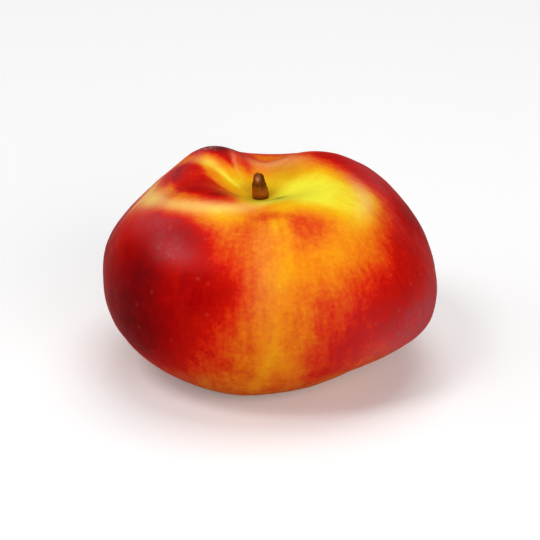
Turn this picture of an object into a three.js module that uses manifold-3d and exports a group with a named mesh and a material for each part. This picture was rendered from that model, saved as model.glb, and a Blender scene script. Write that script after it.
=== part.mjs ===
// A flat nectarine with its short woody stem, in millimetres, +Z up.
// The fruit rests on z = 0 and the origin is under its middle. -Y is its front.
import * as THREE from 'three';
import { mergeVertices } from 'three/addons/utils/BufferGeometryUtils.js';
import Module from 'manifold-3d';

// Driving dimensions of the fruit, before the lobes are raised on it
const HALF_WIDTH = 35;
const HALF_DEPTH = 33;
const CROWN_RISE = 22.5;     // from the widest level up to the crown
const BASE_DROP = 22;        // from the widest level down to the base
const WIDEST_LEVEL = 19.9;   // height of the widest level above the surface it rests on
const PLAN_POWER = 2.2;      // 2 is an ellipse seen from above, more is squarer
const SIDE_POWER = 2.3;      // the same for the outline seen from the side
const POLE_FADE = 0.5;       // how softly the lobes die away at the two poles

// The cavity round the stem and the dimple of the blossom end
const CAVITY_DEPTH = 8;
const CAVITY_RADIUS = 11;
const CAVITY_SKEW = 0.15;    // how much wider the cavity is towards its open side
const CAVITY_OPEN_SIDE = 30;
const DIMPLE_DEPTH = 6;
const DIMPLE_RADIUS = 9;
const POLE_SHIFT = new THREE.Vector2(-2.4, 4.4);   // the cavity lies off the middle
const SHIFT_REACH = 22;
const SHIFT_EASE = 3;

// Lobes and grooves. A bearing is in degrees from +X, turning towards +Y, and down is
// in degrees from the top. Each form fades over its spread, and out is its height.
const LOBES = [
  { name: 'back left knob', bearing: 124, width: 17, down: 33, length: 15, out: 1.8 },
  { name: 'dip in the back rim', bearing: 89, width: 20, down: 29, length: 15, out: -3.9 },
  { name: 'suture groove', bearing: 143, width: 8, down: 30, length: 20, out: -0.9 },
  { name: 'left shoulder', bearing: 163, width: 22, down: 54, length: 22, out: -2.6 },
  { name: 'left valley', bearing: -174, width: 18, down: 30, length: 14, out: -2 },
  { name: 'front left lobe', bearing: -146, width: 24, down: 42, length: 20, out: 1.2 },
  { name: 'notch in the front rim', bearing: -96, width: 19, down: 25, length: 13, out: -1.9 },
  { name: 'front right lobe', bearing: -62, width: 25, down: 32, length: 16, out: 0.8 },
  { name: 'right shoulder', bearing: -6, width: 34, down: 58, length: 25, out: -3.2 },
  { name: 'right corner', bearing: -16, width: 24, down: 106, length: 14, out: 0.9 },
  { name: 'back right lobe', bearing: 48, width: 22, down: 36, length: 20, out: 0.7 },
  { name: 'right underside', bearing: -38, width: 36, down: 133, length: 22, out: -3 },
  { name: 'left underside', bearing: -165, width: 30, down: 125, length: 24, out: -0.5 },
  { name: 'front underside', bearing: -106, width: 24, down: 134, length: 20, out: 0.8 },
];

const SKIN_DETAIL = 18;      // each of the ball's 20 faces is split this finely for the skin

// The stem: a stub that stands in a socket at the bottom of the cavity
const STEM_FOOT = new THREE.Vector3(-1.75, 4.4, 33.1);
const STEM_LEAN = new THREE.Vector2(-0.1, 0.02);   // sideways for each millimetre up
const STEM_FLATTENING = 0.85;   // its depth as a share of its width
const STEM_GAP = 0.3;           // room between the stem and its socket
const STEM_SIDES = 16;
// Heights above the foot and radii, from the foot to the snapped end
const STEM_PROFILE = [
  [0, 1.2], [0.5, 1.5], [2.3, 1.75], [3.2, 1.65], [4.2, 1.45], [5.2, 1.25], [6.2, 1.1], [6.7, 0.8],
];

// Colours and finishes
const skinLook = new THREE.MeshStandardMaterial({ color: 0xc63a1c, roughness: 0.38, metalness: 0 });
const woodLook = new THREE.MeshStandardMaterial({ color: 0x7a4a1e, roughness: 0.8, metalness: 0 });

const degrees = THREE.MathUtils.degToRad;
const bell = (distance, spread) => Math.exp(-((distance / spread) ** 2));

// The difference of two angles, between minus and plus half a turn
function turnBetween(angle, other) {
  const turn = angle - other;
  return Math.atan2(Math.sin(turn), Math.cos(turn));
}

// How far all lobes and grooves together move the skin outwards
function lobeHeight(bearing, down) {
  let height = 0;
  for (const lobe of LOBES) {
    const across = bell(turnBetween(bearing, degrees(lobe.bearing)), degrees(lobe.width));
    const along = bell(down - degrees(lobe.down), degrees(lobe.length));
    height += lobe.out * across * along;
  }
  return height * Math.sin(down) ** POLE_FADE;
}

// The point of the skin at a bearing round the fruit and an angle down from the top
function skinPoint(bearing, down) {
  const sine = Math.sin(down);
  const cosine = Math.cos(down);
  const across = Math.abs(Math.cos(bearing) / HALF_WIDTH) ** PLAN_POWER;
  const deep = Math.abs(Math.sin(bearing) / HALF_DEPTH) ** PLAN_POWER;
  const reach = (across + deep) ** (-1 / PLAN_POWER);
  const radius = reach * sine ** (2 / SIDE_POWER);
  const rise = cosine > 0 ? CROWN_RISE : BASE_DROP;
  const level = Math.sign(cosine) * rise * Math.abs(cosine) ** (2 / SIDE_POWER);
  const lobe = lobeHeight(bearing, down);
  let z = WIDEST_LEVEL + level + lobe * cosine;
  if (cosine > 0) {
    const openness = 1 + CAVITY_SKEW * Math.cos(bearing - degrees(CAVITY_OPEN_SIDE));
    z -= CAVITY_DEPTH * bell(radius, CAVITY_RADIUS * openness);
  } else {
    z += DIMPLE_DEPTH * bell(radius, DIMPLE_RADIUS);
  }
  const shift = bell(radius, SHIFT_REACH) * THREE.MathUtils.clamp(cosine * SHIFT_EASE, 0, 1);
  return new THREE.Vector3(
    (radius + lobe * sine) * Math.cos(bearing) + POLE_SHIFT.x * shift,
    (radius + lobe * sine) * Math.sin(bearing) + POLE_SHIFT.y * shift,
    Math.max(z, 0),   // the ring round the dimple is pressed flat where it rests
  );
}

// A geometry's closed surface with only its positions left and its doubles merged
function weld(geometry) {
  geometry.deleteAttribute('normal');
  geometry.deleteAttribute('uv');
  return mergeVertices(geometry);
}

// The skin: a ball of even faces, each corner moved to its place on the fruit
function fruitGeometry() {
  const skin = weld(new THREE.IcosahedronGeometry(1, SKIN_DETAIL));
  const corners = skin.getAttribute('position');
  const corner = new THREE.Vector3();
  for (let i = 0; i < corners.count; i += 1) {
    corner.fromBufferAttribute(corners, i).normalize();
    const down = Math.acos(THREE.MathUtils.clamp(corner.z, -1, 1));
    const place = skinPoint(Math.atan2(corner.y, corner.x), down);
    corners.setXYZ(i, place.x, place.y, place.z);
  }
  return skin;
}

// The stem's profile turned round, flattened and leaned, or its socket if it is wider
function stemGeometry(extra = 0) {
  const outline = STEM_PROFILE.map(([height, radius]) => new THREE.Vector2(radius + extra, height));
  outline[0].y -= extra;
  outline.unshift(new THREE.Vector2(0, outline[0].y));
  outline.push(new THREE.Vector2(0, outline.at(-1).y));
  const stub = new THREE.LatheGeometry(outline, STEM_SIDES);
  stub.rotateX(Math.PI / 2);
  stub.scale(1, STEM_FLATTENING, 1);
  const wood = weld(stub);
  const corners = wood.getAttribute('position');
  for (let i = 0; i < corners.count; i += 1) {
    const height = corners.getZ(i);
    corners.setX(i, corners.getX(i) + STEM_LEAN.x * height);
    corners.setY(i, corners.getY(i) + STEM_LEAN.y * height);
  }
  wood.translate(STEM_FOOT.x, STEM_FOOT.y, STEM_FOOT.z);
  return wood;
}

const solids = await Module();
solids.setup();

// A welded geometry as a solid that can be cut
function solidOf(geometry) {
  return new solids.Manifold(new solids.Mesh({
    numProp: 3,
    vertProperties: new Float32Array(geometry.getAttribute('position').array),
    triVerts: new Uint32Array(geometry.index.array),
  }));
}

// A cut solid back as a geometry
function geometryOf(solid) {
  const { vertProperties, triVerts } = solid.getMesh();
  const geometry = new THREE.BufferGeometry();
  geometry.setAttribute('position', new THREE.BufferAttribute(vertProperties, 3));
  geometry.setIndex(new THREE.BufferAttribute(triVerts, 1));
  geometry.computeVertexNormals();
  return geometry;
}

function namedMesh(name, geometry, look) {
  const mesh = new THREE.Mesh(geometry, look);
  mesh.name = name;
  return mesh;
}

const socketedFruit = solidOf(fruitGeometry()).subtract(solidOf(stemGeometry(STEM_GAP)));

const nectarine = new THREE.Group();
nectarine.add(namedMesh('fruit', geometryOf(socketedFruit), skinLook));
nectarine.add(namedMesh('stem', geometryOf(solidOf(stemGeometry())), woodLook));

export default nectarine;
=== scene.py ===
# The looks of a ripe flat nectarine: its skin with the red blush, and its woody stem.
# Lengths in the value tables are in millimetres and angles in degrees. A bearing turns
# from +X towards +Y, so the front is at -90, and down is counted from the stem end.
import math

import bpy
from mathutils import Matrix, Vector, noise


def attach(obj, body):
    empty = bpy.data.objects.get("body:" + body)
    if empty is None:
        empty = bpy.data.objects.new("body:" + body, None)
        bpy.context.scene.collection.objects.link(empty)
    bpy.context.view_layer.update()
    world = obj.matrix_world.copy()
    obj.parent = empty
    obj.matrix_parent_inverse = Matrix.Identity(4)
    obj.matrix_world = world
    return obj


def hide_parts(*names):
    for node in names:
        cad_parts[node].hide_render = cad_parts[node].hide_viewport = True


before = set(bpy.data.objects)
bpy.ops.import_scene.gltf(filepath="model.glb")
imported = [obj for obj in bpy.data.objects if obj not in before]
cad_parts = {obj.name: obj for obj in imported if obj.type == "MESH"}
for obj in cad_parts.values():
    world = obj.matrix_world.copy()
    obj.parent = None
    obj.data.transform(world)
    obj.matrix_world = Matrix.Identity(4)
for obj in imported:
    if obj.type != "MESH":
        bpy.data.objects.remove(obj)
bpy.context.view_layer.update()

MM = 0.001


def linear(red, green, blue):
    """A colour of 0 to 255 parts, as a screen shows it, in the shader's linear parts."""
    parts = []
    for part in (red, green, blue):
        share = part / 255
        parts.append(share / 12.92 if share <= 0.04045 else ((share + 0.055) / 1.055) ** 2.4)
    return (*parts, 1)


# The form of the fruit, the same as its solid has but for the slight unevenness
FORM = {
    "Half width": 35,
    "Half depth": 33,
    "Crown rise": 22.5,
    "Base drop": 22,
    "Widest level": 19.9,
    "Plan power": 2.2,
    "Side power": 2.3,
    "Cavity depth": 8,
    "Cavity radius": 11,
    "Cavity skew": 0.15,
    "Cavity open side": 30,
    "Dimple depth": 6,
    "Dimple radius": 9,
    "Pole shift x": -2.4,
    "Pole shift y": 4.4,
    "Shift reach": 22,
    "Shift ease": 3,
    "Pole fade": 0.5,
    "Unevenness": 0.22,
}
SKIN_MERIDIANS = 384
SKIN_PARALLELS = 248

# Lobes and grooves: bearing, down, width, length and height outwards
LOBES = {
    "back left knob": (124, 33, 17, 15, 1.8),
    "dip in the back rim": (89, 29, 20, 15, -3.9),
    "suture groove": (143, 30, 8, 20, -0.9),
    "left shoulder": (163, 54, 22, 22, -2.6),
    "left valley": (-174, 30, 18, 14, -2),
    "front left lobe": (-146, 42, 24, 20, 1.2),
    "notch in the front rim": (-96, 25, 19, 13, -1.9),
    "front right lobe": (-62, 32, 25, 16, 0.8),
    "right shoulder": (-6, 58, 34, 25, -3.2),
    "right corner": (-16, 106, 24, 14, 0.9),
    "back right lobe": (48, 36, 22, 20, 0.7),
    "right underside": (-38, 133, 36, 22, -3),
    "left underside": (-165, 125, 30, 24, -0.5),
    "front underside": (-106, 134, 24, 20, 0.8),
}

# The slow noises that make the skin and the edges of its marks uneven, and how many
# degrees the edges move from one extreme to the other
UNEVEN_NOISE = {"Scale": 5.5, "Detail": 2.0, "Roughness": 0.45}
WANDER_NOISE = {"Scale": 3.2, "Detail": 3.0, "Roughness": 0.6}
WANDER_REACH = 5

# The blush runs from 0, lemon yellow, over orange and scarlet to 1, maroon. Each patch
# has a bearing, down, reach, spread across, turn, edge (1 soft, 2 firm) and amount.
GROUND_BLUSH = 0.42
BLUSH = {
    "left cheek": (-146, 78, 47, 38, 0, 2.0, 0.30),
    "left cheek, front edge": (-110, 65, 13, 16, 0, 1.3, 0.13),
    "left cheek, upper front": (-125, 45, 12, 9, 20, 1.3, 0.19),
    "left cheek, top": (-140, 45, 14, 8, 0, 1.2, 0.12),
    "left cheek, round the back": (155, 82, 32, 32, 0, 2.0, 0.30),
    "left cheek, middle": (-140, 64, 11, 15, 0, 1.2, 0.11),
    # The left cheek darkens low down: partly its own maroon, partly painted shade
    "left cheek, low": (-146, 102, 20, 28, 0, 1.3, 0.16),
    "left cheek, heart": (-142, 84, 20, 26, 0, 1.0, 0.08),
    # Lighter along the left rim: partly the skin's own yellow, partly painted highlight
    "left rim line": (-138, 32, 46, 4.2, -15, 1.3, -0.18),
    "left rim line, front end": (-118, 32, 13, 6, -10, 1.2, -0.19),
    "left rim line, back end": (-174, 42, 12, 6, -10, 1.4, -0.22),
    "left inner slope": (-168, 20.5, 54, 9, -9, 5.0, 0.26),
    "left inner slope, front": (-141, 22, 20, 5.5, -12, 2.5, 0.09),
    "left inner slope, tip": (-126, 22, 14, 5, -12, 2.0, 0.18),
    "left shoulder": (161, 36, 15, 7, -11, 2.0, 0.24),
    "left shoulder, by the stripe": (148, 32, 6, 5, 0, 1.3, 0.20),
    "left shoulder end": (167, 51, 13, 9, 0, 1.4, -0.32),
    "suture stripe": (145, 23, 16, 8, 116, 1.6, -0.29),
    "suture stripe, inner end": (142, 10, 30, 4.5, 0, 1.5, -0.14),
    "knob": (123, 23, 9, 10, 0, 1.5, 0.32),
    "knob, pale streak": (119.5, 17, 8, 2.2, 129, 1.0, -0.16),
    "knob, outer side": (120, 33, 20, 9, 0, 1.3, 0.42),
    "knob, inner side": (107, 18, 7, 8, 0, 1.2, 0.22),
    "back rim": (80, 14, 34, 7, 0, 1.0, -0.03),
    "back rim, outer side": (89, 37, 14, 8, 0, 1.2, -0.12),
    "back inner slope": (50, 8, 40, 5, 0, 1.5, -0.05),
    "right inner slope": (-18, 16, 58, 12, 0, 1.6, -0.42),
    "right inner slope, front": (-47, 27, 18, 8, 0, 1.2, -0.20),
    "right inner slope, end": (-27, 35, 28, 8, -8, 1.3, -0.30),
    "right rim": (-7, 38, 9, 4, -16, 1.2, -0.16),
    "front inner slope": (-92, 14, 34, 6, 0, 1.5, -0.26),
    "front inner slope, right side": (-74, 25, 10, 4, 0, 1.2, -0.12),
    "round the stem": (0, 0, 400, 12, 0, 2.0, -0.21),
    "golden field": (-54, 52, 22, 13, -20, 1.2, -0.16),
    "front rim": (-86, 31, 22, 9, 0, 1.4, -0.06),
    "front blotch": (-67, 39, 13, 8, 0, 1.0, 0.17),
    "front rim band": (-74, 32, 12, 3.5, 20, 1.2, 0.06),
    "front blotch, right end": (-50, 39, 14, 5, 0, 1.3, 0.08),
    "front rim blotch": (-89, 29, 10, 4, 0, 1.2, 0.16),
    "front rim, left side": (-98, 37, 9, 9, 0, 1.2, 0.05),
    "front rim, left streak": (-85, 38, 8, 2.6, 90, 1.0, -0.09),
    "front rim, right streak": (-79, 40, 8, 2.4, 90, 1.0, -0.08),
    "front stripe": (-85, 61, 31, 11, 90, 1.0, -0.10),
    "front, low stripe": (-92, 107, 20, 3.5, 102, 1.2, -0.11),
    "front, low patch": (-82, 109, 14, 4.5, 72, 1.5, -0.06),
    "front, foot": (-73, 116, 5, 12, 0, 1.2, 0.06),
    "front left, low": (-114, 112, 20, 18, 0, 1.0, 0.07),
    "front, low left streak": (-94, 88, 12, 5, 90, 1.0, -0.04),
    "right flank": (-58, 86, 18, 36, 0, 1.2, 0.12),
    "right flank, low": (-69, 104, 12, 22, 0, 1.4, 0.13),
    "right cheek": (-13, 82, 43, 38, 0, 2.0, 0.30),
    # Painted shadow darkens the right cheek's edge
    "right cheek, edge in painted shadow": (14, 60, 16, 20, 0, 1.3, 0.18),
    "right shoulder": (26, 38, 26, 13, 16, 1.3, 0.28),
    "right shoulder, inner side": (12, 31, 24, 5, -16, 1.2, 0.06),
    "back right shoulder": (44, 28, 18, 6, 0, 1.2, 0.24),
    "back cheek": (84, 76, 48, 42, 0, 1.6, 0.34),
    "base": (0, 166, 400, 24, 0, 1.5, -0.10),
    "base, back": (110, 148, 60, 16, 0, 1.2, 0.16),
    "base, left": (-150, 140, 40, 16, 0, 1.2, 0.12),
}

# The other marks have patches like those of the blush: a waxy film that greys the red, mixed with
# painted highlight on the left cheek and painted sheen on the shoulders, the knob and the lower right
WAX_AND_SHEEN = {
    # Painted highlight on the left cheek's top and side
    "left cheek, top": (-150, 47, 20, 7, -8, 1.0, 0.6),
    "left cheek, side": (-130, 54, 9, 6, 0, 1.0, 0.8),
    # Painted sheen, a reflection of the floor, on the lower right
    "right cheek, low": (-29, 102, 23, 13, -14, 1.2, 1.0),
    "right flank": (-50, 98, 24, 18, 0, 1.0, 0.22),
    "right shoulder": (24, 41, 26, 8, 0, 1.0, 0.6),
    "knob": (124, 32, 13, 6, 0, 1.2, 0.8),
    "left shoulder": (163, 33, 13, 8, -11, 1.0, 0.5),
}

# Where the blush is drawn out in wide streaks
STREAKY = {
    "right shoulder": (18, 37, 34, 12, 0, 1.2, 1.0),
    "under the front rim": (-82, 38, 20, 11, 0, 1.2, 0.7),
    "knob, inner side": (114, 19, 14, 12, 0, 1.2, 0.5),
    "left inner slope": (-172, 24, 30, 12, 0, 1.2, 0.5),
}

# Dry scuffed skin
SCUFF = {
    "on the knob": (121, 32, 13, 6, 0, 1.0, 0.8),
}

# Pale skin, most of it on the rims, where it is partly painted highlight
PALE_AND_RIM_LIGHT = {
    "left rim": (-134, 31, 44, 4, -15, 1.2, 0.8),
    "left rim, back end": (-174, 41, 15, 7, -10, 1.2, 0.9),
    "left shoulder end": (167, 51, 13, 9, 0, 1.4, 0.9),
    "knob, pale streak": (119.5, 17, 8, 2.2, 129, 1.0, 0.4),
    "suture stripe": (144, 22, 15, 6, 112, 1.3, 0.35),
    "back rim": (80, 20, 26, 5, 0, 1.2, 0.6),
    "right rim": (-12, 34, 22, 4.5, -12, 1.2, 0.65),
    "front": (-92, 60, 24, 7, 90, 1.0, 0.12),
}

# Green skin in the cavity; behind the stem it is partly painted shade from the stem
GREEN = {
    "round the stem": (0, 0, 400, 6, 0, 1.5, 0.5),
    "in front of the stem": (-88, 11, 50, 7, 0, 1.4, 0.65),
    "behind the stem, with painted stem shadow": (58, 12, 30, 8, 0, 1.3, 0.32),
}

# Brown scars
SCAR = {
    "blossom end": (0, 180, 400, 4, 0, 2.0, 1.0),
    "crack beside the stem": (-32, 6.2, 2.0, 12, 90, 1.0, 0.8),
}

# The colours of the skin along the blush, and of what lies over them
SKIN_COLOURS = (
    (0.00, linear(255, 246, 60)),
    (0.18, linear(250, 186, 16)),
    (0.36, linear(242, 132, 18)),
    (0.52, linear(226, 76, 14)),
    (0.60, linear(222, 44, 10)),
    (0.66, linear(205, 18, 4)),
    (0.80, linear(168, 2, 2)),
    (1.00, linear(84, 0, 6)),
)
GREEN_SKIN = linear(158, 150, 30)
# Pale skin, also painted highlight along the rims
PALE_SKIN_AND_RIM_LIGHT = linear(255, 214, 160)
DOT_SKIN = linear(236, 140, 100)
# The wax film's colour, also used as painted highlight and sheen
WAX_FILM_AND_SHEEN = linear(184, 102, 110)
DRY_SKIN = linear(206, 160, 150)
SCAR_BROWN = linear(92, 72, 28)

# The roughness of every fine grain's noise, and the depth of all fine relief
GRAIN_ROUGHNESS = 0.6
RELIEF_DEPTH = 0.2

# The grains of the skin with their scale and detail, and its streaks from stem to base
# with how often they change across and along
SKIN_GRAINS = {"mottle": (330, 3.0), "specks": (1100, 2.0), "patches": (120, 3.0)}
SKIN_STREAKS = {"flames": (24, 24, 3), "wide flames": (13, 13, 1.5)}
STREAK_DETAIL = 3.0

# How far each of them moves the blush: everywhere, and more where yellow turns to red
TURNING_BLUSH = 0.5
TURNING_SPREAD = 0.22
BLUSH_MOVES = {
    "flames": (0.052, 0.156),
    "patches": (0.06, 0.18),
    "mottle": (0.15, 0.0),
    "specks": (0.07, 0.15),
}
STREAKY_MOVE = 0.5

# How strongly the pale skin with its painted rim highlight, the wax film with its painted sheen and
# the scuff cover the blush, and their grain
PALE_AND_RIM_LIGHT_SHARE = 0.4
FILM_AND_SHEEN_SHARE = 0.45
FILM_AND_SHEEN_GROUND = 0.9
FILM_AND_SHEEN_GRAINS = {"mottle": 1.4, "specks": 1.4, "flames": 0.8}
SCUFF_SHARE = 0.75
SCUFF_EDGE = (0.02, 0.2)

# The small dots in the red: their scale, soft edge, chance, and the blush they start at
DOT_SCALE = 420.0
DOT_EDGE = (0.24, 0.08)
DOT_CHANCE = 0.5
DOT_BLUSH = (0.5, 0.7)
DOT_SHARE = 0.07

# The skin's gloss and relief. A low IOR keeps its colour deep at the outline.
SKIN_IOR = 1.1
SKIN_ROUGHNESS = 0.4
FILM_ROUGHNESS = 0.12
MOTTLE_ROUGHNESS = 0.1
SPECK_RELIEF = 0.5
SKIN_RELIEF = 0.12

# The stem, the same as its solid has: its profile is heights above its foot and radii
STEM_FOOT = Vector((-1.75, 4.4, 33.1))
STEM_LEAN = Vector((-0.1, 0.02))
STEM_FLATTENING = 0.85
STEM_PROFILE = (
    (0, 1.2), (0.5, 1.5), (2.3, 1.75), (3.2, 1.65), (4.2, 1.45), (5.2, 1.25), (6.2, 1.1), (6.7, 0.8),
)

# Its finer form: ridges with their number, height and twist, knots, and the snapped end
STEM_SIDES = 56
STEM_ROWS = 64
STEM_RIDGES = ((5, 0.03, 1.1), (11, 0.015, -0.7))
KNOT_HEIGHT = 0.12
KNOTS_ROUND = 1.3
KNOTS_ALONG = 0.55
END_ROWS = 8
END_DEPTH = 0.1
END_SWELL = 0.12
RAGGED_HEIGHT = 0.2
RAGGED_REACH = 1.0
RAGGED_NOISE_LEVEL = 9.0

# The wood's colours, its grains and how much they weigh
WOOD_COLOURS = (
    (0.15, linear(58, 24, 0)),
    (0.50, linear(130, 64, 0)),
    (0.85, linear(196, 108, 14)),
)
WOOD_GRAINS = {"fibres": (1500, 3.0, (1, 1, 0.3)), "pores": (900, 2.0, (1, 1, 1))}
WOOD_WEIGHTS = {"fibres": 0.7, "pores": 0.6}
WOOD_MIDDLE = 0.5
WOOD_IOR = 1.2
WOOD_ROUGHNESS = 0.6
FIBRE_ROUGHNESS = 0.3
WOOD_RELIEF = 0.35

# Bands round the stem: middle and spread as shares of its height, strength and colour
STEM_BANDS = {
    "light body": (0.45, 0.13, 0.5, linear(198, 106, 14)),
    "dark ring": (0.68, 0.06, 0.6, linear(66, 28, 0)),
}

# Spots on the stem: middle, spread along each axis, strength and colour. The side in painted shade
# reaches all through the stem's depth, and a painted highlight sits near the top.
STEM_SPOTS = {
    "side in painted shade": ((-1.4, 3.8, 38.7), (0.5, 1000, 1.9), 0.7, linear(62, 26, 0)),
    "painted highlight spot": ((-2.6, 3.4, 39.0), (0.38, 0.9, 0.42), 0.8, linear(226, 160, 122)),
}
FOOT_EDGE = (0.3, 0.22)
FOOT_SHARE = 0.7
FOOT_BROWN = linear(60, 30, 4)

# The floor: darker in its own light than the camera sees it, and lifted towards white
FLOOR_HALF = 1500
FLOOR_LIGHT = linear(188, 188, 188)
FLOOR_SEEN = linear(250, 250, 250)
FLOOR_GLOW = 0.14
FLOOR_ROUGHNESS = 0.6

# The soft lights: place and size in metres, power in watts, and the world's strengths
LIGHTS = {
    "key": ((-0.45, -0.32, 0.85), 0.32, 2.4),
    "front": ((0.55, -0.98, 0.36), 1.1, 10.2),
    "left": ((-1.0, -0.2, 0.48), 0.9, 2.5),
    "top": ((0.1, 0.2, 0.95), 0.7, 4.4),
}
WHITE = (1, 1, 1, 1)
WORLD_LIGHT = 0.12
WORLD_SEEN = 0.95

# The camera looks the way the photograph does
CAMERA_ELEVATION = 25
CAMERA_DISTANCE = 600
CAMERA_TARGET = Vector((0, 0, 19.9))
CAMERA_NEAR = 10
FRUIT_SHARE_OF_FRAME = 0.62
SENSOR = 36


# Formulas written as node trees

class Number:
    """A value in a node tree that a formula can be written with."""

    def __init__(self, tree, socket):
        self.tree = tree
        self.socket = socket

    def math(self, operation, *others):
        node = self.tree.nodes.new("ShaderNodeMath")
        node.operation = operation
        for place, value in zip(node.inputs, (self, *others)):
            put(value, place)
        return Number(self.tree, node.outputs[0])

    def __add__(self, other):
        return self.math("ADD", other)

    def __sub__(self, other):
        return self.math("SUBTRACT", other)

    def __mul__(self, other):
        return self.math("MULTIPLY", other)

    def __truediv__(self, other):
        return self.math("DIVIDE", other)

    def __pow__(self, other):
        return self.math("POWER", other)

    def __abs__(self):
        return self.math("ABSOLUTE")

    def squared(self):
        return self * self

    def over(self, other):
        """1 where this is more than the other, and else 0."""
        return self.math("GREATER_THAN", other)

    def held(self, low, high):
        return self.math("MAXIMUM", low).math("MINIMUM", high)

    def bell(self, spread):
        """1 at zero, fading away over the spread."""
        return ((self / spread).squared() * -1).math("EXPONENT")

    def between(self, low, high):
        """0 up to low, 1 from high on, and smooth between them."""
        node = self.tree.nodes.new("ShaderNodeMapRange")
        node.interpolation_type = "SMOOTHSTEP"
        put(self, node.inputs["Value"])
        put(low, node.inputs["From Min"])
        put(high, node.inputs["From Max"])
        return Number(self.tree, node.outputs["Result"])


def put(value, place):
    """Links a number or a socket to an input, or sets the input to a plain value."""
    if isinstance(value, Number):
        value = value.socket
    if isinstance(value, bpy.types.NodeSocket):
        place.id_data.links.new(value, place)
    else:
        place.default_value = value


def node_in(tree, kind, settings=None, **inputs):
    """A new node with its settings and inputs. A name's underscores stand for spaces."""
    node = tree.nodes.new(kind)
    for name, value in (settings or {}).items():
        setattr(node, name, value)
    for name, value in inputs.items():
        put(value, node.inputs[name.replace("_", " ")])
    return node


def axes_of(tree, vector):
    """The three numbers of a vector."""
    apart = node_in(tree, "ShaderNodeSeparateXYZ", Vector=vector)
    return [Number(tree, apart.outputs[axis]) for axis in "XYZ"]


def new_group(name, kind, inputs, outputs):
    """An empty node group, the dictionary of its inputs and its output node."""
    group = bpy.data.node_groups.new(name, kind)
    for label, (socket_type, value) in inputs.items():
        socket = group.interface.new_socket(label, in_out="INPUT", socket_type=socket_type)
        if value is not None:
            socket.default_value = value
    for label, socket_type in outputs.items():
        group.interface.new_socket(label, in_out="OUTPUT", socket_type=socket_type)
    start = group.nodes.new("NodeGroupInput")
    end = group.nodes.new("NodeGroupOutput")
    given = {label: Number(group, start.outputs[label]) for label in inputs}
    return group, given, end


def group_node(tree, group, **inputs):
    """A group placed in a tree with its own values."""
    kind = "GeometryNodeGroup" if group.bl_idname == "GeometryNodeTree" else "ShaderNodeGroup"
    node = tree.nodes.new(kind)
    node.node_tree = group
    for name, value in inputs.items():
        put(value, node.inputs[name.replace("_", " ")])
    return node


# The fruit

def patch_group():
    """A soft patch on the fruit, round a bearing and an angle down."""
    floats = ("Bearing", "Down", "At bearing", "At down", "Reach", "Across", "Turn", "Edge", "Amount")
    group, given, end = new_group(
        "patch of skin", "GeometryNodeTree",
        {name: ("NodeSocketFloat", 1.0) for name in floats},
        {"Value": "NodeSocketFloat"},
    )
    half_turn = 180
    sideways = (given["Bearing"] - given["At bearing"]).math("WRAP", half_turn, -half_turn)
    downwards = given["Down"] - given["At down"]
    turn = given["Turn"].math("RADIANS")
    along = sideways * turn.math("COSINE") + downwards * turn.math("SINE")
    across = downwards * turn.math("COSINE") - sideways * turn.math("SINE")
    distance = (along / given["Reach"]).squared() + (across / given["Across"]).squared()
    fading = ((distance ** given["Edge"]) * -1).math("EXPONENT")
    put(fading * given["Amount"], end.inputs["Value"])
    return group


def sum_of_patches(tree, group, bearing, down, patches, ground=0.0):
    """All patches of a table added to the ground value."""
    total = None
    for at_bearing, at_down, reach, across, turn, edge, amount in patches.values():
        node = group_node(
            tree, group, Bearing=bearing, Down=down, At_bearing=at_bearing, At_down=at_down,
            Reach=reach, Across=across, Turn=turn, Edge=edge, Amount=amount,
        )
        value = Number(tree, node.outputs["Value"])
        total = value + ground if total is None else total + value
    return total


def stored(tree, geometry, name, value, data_type="FLOAT"):
    """The geometry with a value kept on each of its points."""
    node = node_in(
        tree, "GeometryNodeStoreNamedAttribute", {"data_type": data_type, "domain": "POINT"},
        Geometry=geometry, Name=name, Value=value,
    )
    return node.outputs["Geometry"]


def skin_place(tree, given, patch, direction, bearing, down):
    """Where the skin lies at a bearing and an angle down, by the fruit's formula."""
    # The outline from above and from the side
    sine = down.math("SINE").math("MAXIMUM", 0)
    cosine = down.math("COSINE")
    above = cosine.over(0)
    below = above * -1 + 1
    across = (abs(bearing.math("COSINE")) / given["Half width"]) ** given["Plan power"]
    deep = (abs(bearing.math("SINE")) / given["Half depth"]) ** given["Plan power"]
    reach = ((across + deep) ** (given["Plan power"] ** -1)) ** -1
    round_power = (given["Side power"] / 2) ** -1
    radius = reach * sine ** round_power
    rise = above * given["Crown rise"] - below * given["Base drop"]
    level = rise * abs(cosine) ** round_power

    # Lobes, grooves and a slight unevenness
    lobes = {
        name: (at, down_at, width, length, 0, 1, out)
        for name, (at, down_at, width, length, out) in LOBES.items()
    }
    height = sum_of_patches(tree, patch, bearing.math("DEGREES"), down.math("DEGREES"), lobes)
    swell = node_in(tree, "ShaderNodeTexNoise", Vector=direction, **UNEVEN_NOISE)
    unevenness = (Number(tree, swell.outputs[0]) - 0.5) * given["Unevenness"] * 2
    height = (height + unevenness) * sine ** given["Pole fade"]

    # The cavity at the stem and the dimple at the blossom end
    turn_from_open = bearing - given["Cavity open side"].math("RADIANS")
    openness = turn_from_open.math("COSINE") * given["Cavity skew"] + 1
    cavity = radius.bell(given["Cavity radius"] * openness) * given["Cavity depth"]
    dimple = radius.bell(given["Dimple radius"]) * given["Dimple depth"]
    z_level = given["Widest level"] + level + height * cosine - above * cavity + below * dimple
    shift = radius.bell(given["Shift reach"]) * (cosine * given["Shift ease"]).held(0, 1)
    out = radius + height * sine
    place = node_in(
        tree, "ShaderNodeCombineXYZ",
        X=(out * bearing.math("COSINE") + given["Pole shift x"] * shift) * MM,
        Y=(out * bearing.math("SINE") + given["Pole shift y"] * shift) * MM,
        Z=z_level.math("MAXIMUM", 0) * MM,
    )
    return place.outputs[0]


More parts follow.
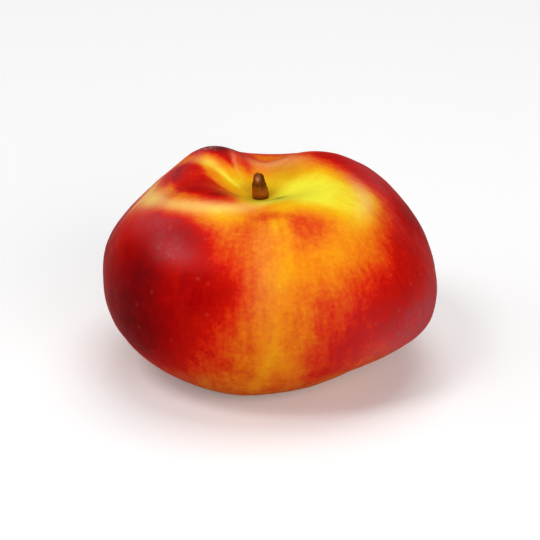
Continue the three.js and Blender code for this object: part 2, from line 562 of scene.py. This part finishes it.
def skin_marks(tree, patch, direction, bearing, down):
    """The marks of the skin by their names. A slow noise makes most edges uneven."""
    wander = node_in(tree, "ShaderNodeTexNoise", Vector=direction, **WANDER_NOISE)
    sideways, downwards = axes_of(tree, wander.outputs["Color"])[:2]
    steady = (bearing.math("DEGREES"), down.math("DEGREES"))
    uneven = (
        steady[0] + (sideways - 0.5) * WANDER_REACH,
        steady[1] + (downwards - 0.5) * WANDER_REACH * down.math("SINE"),
    )
    return {
        "blush": sum_of_patches(tree, patch, *uneven, BLUSH, GROUND_BLUSH),
        "wax_and_sheen": sum_of_patches(tree, patch, *uneven, WAX_AND_SHEEN),
        "streaky": sum_of_patches(tree, patch, *uneven, STREAKY),
        "scuff": sum_of_patches(tree, patch, *uneven, SCUFF),
        "pale": sum_of_patches(tree, patch, *uneven, PALE_AND_RIM_LIGHT),
        "green": sum_of_patches(tree, patch, *steady, GREEN),
        "scar": sum_of_patches(tree, patch, *steady, SCAR),
    }


def skin_tree():
    """The fruit's skin by its formula, with the marks of its skin kept on its points."""
    inputs = {name: ("NodeSocketFloat", float(value)) for name, value in FORM.items()}
    inputs["Meridians"] = ("NodeSocketInt", SKIN_MERIDIANS)
    inputs["Parallels"] = ("NodeSocketInt", SKIN_PARALLELS)
    inputs["Material"] = ("NodeSocketMaterial", None)
    tree, given, end = new_group(
        "flat nectarine skin", "GeometryNodeTree", inputs, {"Geometry": "NodeSocketGeometry"},
    )
    patch = patch_group()
    ball = node_in(
        tree, "GeometryNodeMeshUVSphere",
        Segments=given["Meridians"], Rings=given["Parallels"], Radius=1.0,
    )
    direction = tree.nodes.new("GeometryNodeInputPosition").outputs["Position"]
    x, y, z = axes_of(tree, direction)
    bearing = y.math("ARCTAN2", x)
    down = z.held(-1, 1).math("ARCCOSINE")

    # The streaks are drawn along the meridians, so their place is the two angles
    streaks = node_in(
        tree, "ShaderNodeCombineXYZ",
        X=bearing.math("COSINE"), Y=bearing.math("SINE"), Z=down,
    )
    geometry = ball.outputs["Mesh"]
    for name, value in skin_marks(tree, patch, direction, bearing, down).items():
        geometry = stored(tree, geometry, name, value)
    geometry = stored(tree, geometry, "streaks", streaks.outputs[0], "FLOAT_VECTOR")

    place = skin_place(tree, given, patch, direction, bearing, down)
    moved = node_in(tree, "GeometryNodeSetPosition", Geometry=geometry, Position=place)
    smooth = node_in(tree, "GeometryNodeSetShadeSmooth", Geometry=moved.outputs[0])
    real = node_in(tree, "GeometryNodeRealizeInstances", Geometry=smooth.outputs[0])
    dressed = node_in(
        tree, "GeometryNodeSetMaterial", Geometry=real.outputs[0], Material=given["Material"],
    )
    put(dressed.outputs[0], end.inputs["Geometry"])
    return tree


def made_by_nodes(name, tree, **values):
    """The plain mesh that a geometry node tree makes, as an object."""
    host = bpy.data.objects.new(name, bpy.data.meshes.new(name))
    bpy.context.scene.collection.objects.link(host)
    modifier = host.modifiers.new(name, "NODES")
    modifier.node_group = tree
    identifiers = {item.name: item.identifier for item in tree.interface.items_tree}
    for label, value in values.items():
        modifier[identifiers[label.replace("_", " ")]] = value
    graph = bpy.context.evaluated_depsgraph_get()
    mesh = bpy.data.meshes.new_from_object(
        host.evaluated_get(graph), preserve_all_data_layers=True, depsgraph=graph,
    )
    host.modifiers.clear()
    host.data = mesh
    mesh.name = name
    return host


# Materials

def new_material(name):
    """A material with its node tree and its Principled shader."""
    material = bpy.data.materials.new(name)
    material.use_nodes = True
    return material, material.node_tree, material.node_tree.nodes["Principled BSDF"]


def attribute(tree, name, output="Fac"):
    """A value that is kept on the points of a mesh."""
    node = node_in(tree, "ShaderNodeAttribute", {"attribute_name": name})
    return node.outputs[output]


def grain_group():
    """A fine uneven grain round zero, drawn out along the axes by its stretch."""
    group, given, end = new_group(
        "fine grain", "ShaderNodeTree",
        {
            "Place": ("NodeSocketVector", None),
            "Stretch": ("NodeSocketVector", (1, 1, 1)),
            "Scale": ("NodeSocketFloat", 1.0),
            "Detail": ("NodeSocketFloat", 2.0),
        },
        {"Value": "NodeSocketFloat"},
    )
    stretched = node_in(group, "ShaderNodeMapping", Vector=given["Place"], Scale=given["Stretch"])
    texture = node_in(
        group, "ShaderNodeTexNoise",
        Vector=stretched.outputs[0], Scale=given["Scale"], Detail=given["Detail"],
        Roughness=GRAIN_ROUGHNESS,
    )
    put(Number(group, texture.outputs[0]) - 0.5, end.inputs["Value"])
    return group


FINE_GRAIN = grain_group()


def grain(tree, place, scale, detail, stretch=(1, 1, 1)):
    """The fine grain in a material, from about -0.5 to 0.5."""
    node = group_node(tree, FINE_GRAIN, Place=place, Stretch=stretch, Scale=scale, Detail=detail)
    return Number(tree, node.outputs["Value"])


def weighed(grains, weights, ground):
    """Grains added up by their weights, round a ground value."""
    total = None
    for name, weight in weights.items():
        part = grains[name] * weight
        total = part + ground if total is None else total + part
    return total


def mixed(tree, share, first, second):
    """Two colours mixed by a share."""
    node = tree.nodes.new("ShaderNodeMix")
    node.data_type = "RGBA"
    put(share, node.inputs["Factor"])
    colours = [socket for socket in node.inputs if socket.type == "RGBA"]
    put(first, colours[0])
    put(second, colours[1])
    return next(socket for socket in node.outputs if socket.type == "RGBA")


def layered(tree, colour, layers):
    """A colour with layers over it, each with how much it covers and its own colour."""
    for share, over in layers:
        colour = mixed(tree, share, colour, over)
    return colour


def ramp(tree, value, stops):
    """Colours along a value from 0 to 1."""
    node = tree.nodes.new("ShaderNodeValToRGB")
    steps = node.color_ramp.elements
    while len(steps) > 1:
        steps.remove(steps[-1])
    steps[0].position, steps[0].color = stops[0]
    for position, colour in stops[1:]:
        steps.new(position).color = colour
    put(value, node.inputs["Fac"])
    return node.outputs["Color"]


def set_relief(tree, shader, height, strength):
    """Fine relief over a material."""
    depth = RELIEF_DEPTH * MM
    bump = node_in(tree, "ShaderNodeBump", Height=height, Strength=strength, Distance=depth)
    put(bump.outputs[0], shader.inputs["Normal"])


def skin_grains(tree, place):
    """The grains and streaks of the skin, by their names."""
    grains = {name: grain(tree, place, *values) for name, values in SKIN_GRAINS.items()}
    angles = attribute(tree, "streaks", "Vector")
    down = axes_of(tree, angles)[2]
    for name, stretch in SKIN_STREAKS.items():
        grains[name] = grain(tree, angles, 1.0, STREAK_DETAIL, stretch) * down.math("SINE")
    return grains


def broken_blush(blush, streaky, grains):
    """The blush broken up by the grains and streaks."""
    turning = (blush - TURNING_BLUSH).bell(TURNING_SPREAD)
    broken = blush + grains["wide flames"] * streaky * STREAKY_MOVE
    for name, (everywhere, where_it_turns) in BLUSH_MOVES.items():
        broken = broken + grains[name] * (turning * where_it_turns + everywhere)
    return broken


def skin_dots(tree, place, blush):
    """Small round dots, scattered where the skin is red."""
    cells = node_in(tree, "ShaderNodeTexVoronoi", Vector=place, Scale=DOT_SCALE)
    chance = axes_of(tree, cells.outputs["Color"])[0]
    dots = Number(tree, cells.outputs["Distance"]).between(*DOT_EDGE)
    return dots * chance.over(DOT_CHANCE) * blush.between(*DOT_BLUSH)


def skin_material():
    """Smooth, faintly waxy skin whose blush breaks up into streaks and specks."""
    material, tree, shader = new_material("nectarine skin")
    place = tree.nodes.new("ShaderNodeTexCoord").outputs["Object"]
    grains = skin_grains(tree, place)
    blush = Number(tree, attribute(tree, "blush"))
    wax_and_sheen, streaky, pale, scuff, green, scar = (
        Number(tree, attribute(tree, name)).held(0, 1)
        for name in ("wax_and_sheen", "streaky", "pale", "scuff", "green", "scar")
    )
    # The wax film with its painted sheen and highlight, broken up by the grains
    film_and_sheen = (weighed(grains, FILM_AND_SHEEN_GRAINS, FILM_AND_SHEEN_GROUND) * wax_and_sheen).held(0, 1)
    dry = scuff * (grains["mottle"] + grains["specks"]).between(*SCUFF_EDGE)
    colour = ramp(tree, broken_blush(blush, streaky, grains), SKIN_COLOURS)
    colour = layered(tree, colour, (
        (green, GREEN_SKIN),
        # pale skin with its painted rim highlight
        (pale * PALE_AND_RIM_LIGHT_SHARE, PALE_SKIN_AND_RIM_LIGHT),
        (skin_dots(tree, place, blush) * DOT_SHARE, DOT_SKIN),
        (film_and_sheen * FILM_AND_SHEEN_SHARE, WAX_FILM_AND_SHEEN),
        (dry * SCUFF_SHARE, DRY_SKIN),
        (scar, SCAR_BROWN),
    ))
    roughness = wax_and_sheen * FILM_ROUGHNESS + grains["mottle"] * MOTTLE_ROUGHNESS + SKIN_ROUGHNESS
    put(colour, shader.inputs["Base Color"])
    put(roughness, shader.inputs["Roughness"])
    shader.inputs["IOR"].default_value = SKIN_IOR
    set_relief(tree, shader, grains["specks"] * SPECK_RELIEF + grains["mottle"], SKIN_RELIEF)
    return material


def wood_material():
    """Dry brown wood with a light body, a dark ring, a painted highlight spot, a side in painted
    shade and a dark foot.
    """
    material, tree, shader = new_material("stem wood")
    place = tree.nodes.new("ShaderNodeTexCoord").outputs["Object"]
    grains = {name: grain(tree, place, *values) for name, values in WOOD_GRAINS.items()}
    axes = [axis / MM for axis in axes_of(tree, place)]
    share_up = (axes[2] - STEM_FOOT.z) / STEM_PROFILE[-1][0]

    layers = []
    for at, spread, strength, colour in STEM_BANDS.values():
        layers.append(((share_up - at).bell(spread) * strength, colour))
    for middle, spreads, strength, colour in STEM_SPOTS.values():
        bells = [(axis - at).bell(spread) for axis, at, spread in zip(axes, middle, spreads)]
        layers.append((bells[0] * bells[1] * bells[2] * strength, colour))
    layers.append((share_up.between(*FOOT_EDGE) * FOOT_SHARE, FOOT_BROWN))

    colour = ramp(tree, weighed(grains, WOOD_WEIGHTS, WOOD_MIDDLE), WOOD_COLOURS)
    put(layered(tree, colour, layers), shader.inputs["Base Color"])
    put(grains["fibres"] * FIBRE_ROUGHNESS + WOOD_ROUGHNESS, shader.inputs["Roughness"])
    shader.inputs["IOR"].default_value = WOOD_IOR
    set_relief(tree, shader, grains["fibres"], WOOD_RELIEF)
    return material


def floor_material():
    """A plain pale surface that throws little of its light back on the fruit."""
    material, tree, shader = new_material("pale floor")
    seen = Number(tree, tree.nodes.new("ShaderNodeLightPath").outputs["Is Camera Ray"])
    put(mixed(tree, seen, FLOOR_LIGHT, FLOOR_SEEN), shader.inputs["Base Color"])
    put(seen * FLOOR_GLOW, shader.inputs["Emission Strength"])
    shader.inputs["Roughness"].default_value = FLOOR_ROUGHNESS
    return material


# The stem

def stem_radius(height):
    """The stem's radius at a height above its foot, smooth between its profile's points."""
    for (low, first), (high, second) in zip(STEM_PROFILE, STEM_PROFILE[1:]):
        if height <= high:
            share = (height - low) / (high - low)
            share = share * share * (3 - 2 * share)
            return first + (second - first) * share
    return STEM_PROFILE[-1][1]


def stem_ring(height, radius, dish):
    """The points round the stem at a height, with its ridges, knots and ragged end."""
    from_end = STEM_PROFILE[-1][0] - height
    points = []
    for side in range(STEM_SIDES):
        angle = 2 * math.pi * side / STEM_SIDES
        x = math.cos(angle)
        y = math.sin(angle)
        ridges = sum(
            size * math.sin(count * angle + twist * height) for count, size, twist in STEM_RIDGES
        )
        knot_place = Vector((x * KNOTS_ROUND, y * KNOTS_ROUND, height * KNOTS_ALONG))
        wide = radius * (1 + ridges + KNOT_HEIGHT * noise.noise(knot_place))
        ragged = RAGGED_HEIGHT * noise.noise(Vector((x, y, RAGGED_NOISE_LEVEL)))
        near_end = max(0.0, 1 - from_end / RAGGED_REACH)
        points.append(Vector((
            wide * x + STEM_LEAN.x * height + STEM_FOOT.x,
            wide * y * STEM_FLATTENING + STEM_LEAN.y * height + STEM_FOOT.y,
            height + dish + ragged * near_end + STEM_FOOT.z,
        )) * MM)
    return points


def make_stem(material):
    """A short woody stub with ridges, knots and a snapped end."""
    top = STEM_PROFILE[-1][0]
    points = []
    for row in range(STEM_ROWS + 1):
        height = top * row / STEM_ROWS
        points += stem_ring(height, stem_radius(height), 0)
    for row in range(1, END_ROWS):
        share = row / END_ROWS
        dish = END_SWELL * math.sin(math.pi * share) - END_DEPTH * share
        points += stem_ring(top, stem_radius(top) * (1 - share), dish)

    starts = range(0, len(points), STEM_SIDES)
    faces = []
    for lower, upper in zip(starts, starts[1:]):
        for side in range(STEM_SIDES):
            after = (side + 1) % STEM_SIDES
            faces.append((lower + side, lower + after, upper + after, upper + side))
    faces.append(tuple(reversed(range(STEM_SIDES))))
    faces.append(tuple(range(starts[-1], len(points))))
    mesh = bpy.data.meshes.new("woody stem")
    mesh.from_pydata(points, [], faces)
    mesh.polygons.foreach_set("use_smooth", [True] * len(faces))
    mesh.materials.append(material)
    stem_object = bpy.data.objects.new("woody_stem", mesh)
    bpy.context.scene.collection.objects.link(stem_object)
    return stem_object


# The studio

def make_floor():
    """The level surface that the fruit rests on."""
    half = FLOOR_HALF * MM
    corners = [(x * half, y * half, 0) for x, y in ((-1, -1), (1, -1), (1, 1), (-1, 1))]
    mesh = bpy.data.meshes.new("floor")
    mesh.from_pydata(corners, [], [(0, 1, 2, 3)])
    mesh.materials.append(floor_material())
    floor = bpy.data.objects.new("floor", mesh)
    bpy.context.scene.collection.objects.link(floor)


def make_light(name, place, size, power):
    """A square soft box that faces the fruit."""
    data = bpy.data.lights.new(name, "AREA")
    data.shape = "SQUARE"
    data.size = size
    data.energy = power
    light = bpy.data.objects.new(name, data)
    light.location = place
    towards = CAMERA_TARGET * MM - Vector(place)
    light.rotation_euler = towards.to_track_quat("-Z", "Y").to_euler()
    bpy.context.scene.collection.objects.link(light)


def make_world():
    """A dim world that lights the fruit evenly, and looks white to the camera."""
    world = bpy.data.worlds.new("studio")
    world.use_nodes = True
    tree = world.node_tree
    around = tree.nodes["Background"]
    around.inputs["Color"].default_value = WHITE
    around.inputs["Strength"].default_value = WORLD_LIGHT
    wall = node_in(tree, "ShaderNodeBackground", Color=WHITE, Strength=WORLD_SEEN)
    both = tree.nodes.new("ShaderNodeMixShader")
    put(tree.nodes.new("ShaderNodeLightPath").outputs["Is Camera Ray"], both.inputs[0])
    put(around.outputs[0], both.inputs[1])
    put(wall.outputs[0], both.inputs[2])
    put(both.outputs[0], tree.nodes["World Output"].inputs["Surface"])
    bpy.context.scene.world = world


def make_camera():
    """A camera in front of the fruit and a little above it."""
    data = bpy.data.cameras.new("camera")
    camera = bpy.data.objects.new("camera", data)
    bpy.context.scene.collection.objects.link(camera)
    elevation = math.radians(CAMERA_ELEVATION)
    back = Vector((0, -math.cos(elevation), math.sin(elevation)))
    camera.location = (CAMERA_TARGET + back * CAMERA_DISTANCE) * MM
    camera.rotation_euler = (-back).to_track_quat("-Z", "Y").to_euler()
    seen_width = 2 * FORM["Half width"] / FRUIT_SHARE_OF_FRAME
    data.sensor_width = SENSOR
    data.lens = SENSOR * CAMERA_DISTANCE / seen_width
    data.clip_start = CAMERA_NEAR * MM
    bpy.context.scene.camera = camera


make_camera()
make_floor()
for light_name, light_values in LIGHTS.items():
    make_light(light_name, *light_values)
make_world()
bpy.context.scene.view_settings.view_transform = "Standard"

fruit = made_by_nodes("fruit_skin", skin_tree(), Material=skin_material())
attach(fruit, "root")
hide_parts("fruit")

stem = make_stem(wood_material())
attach(stem, "root")
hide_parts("stem")
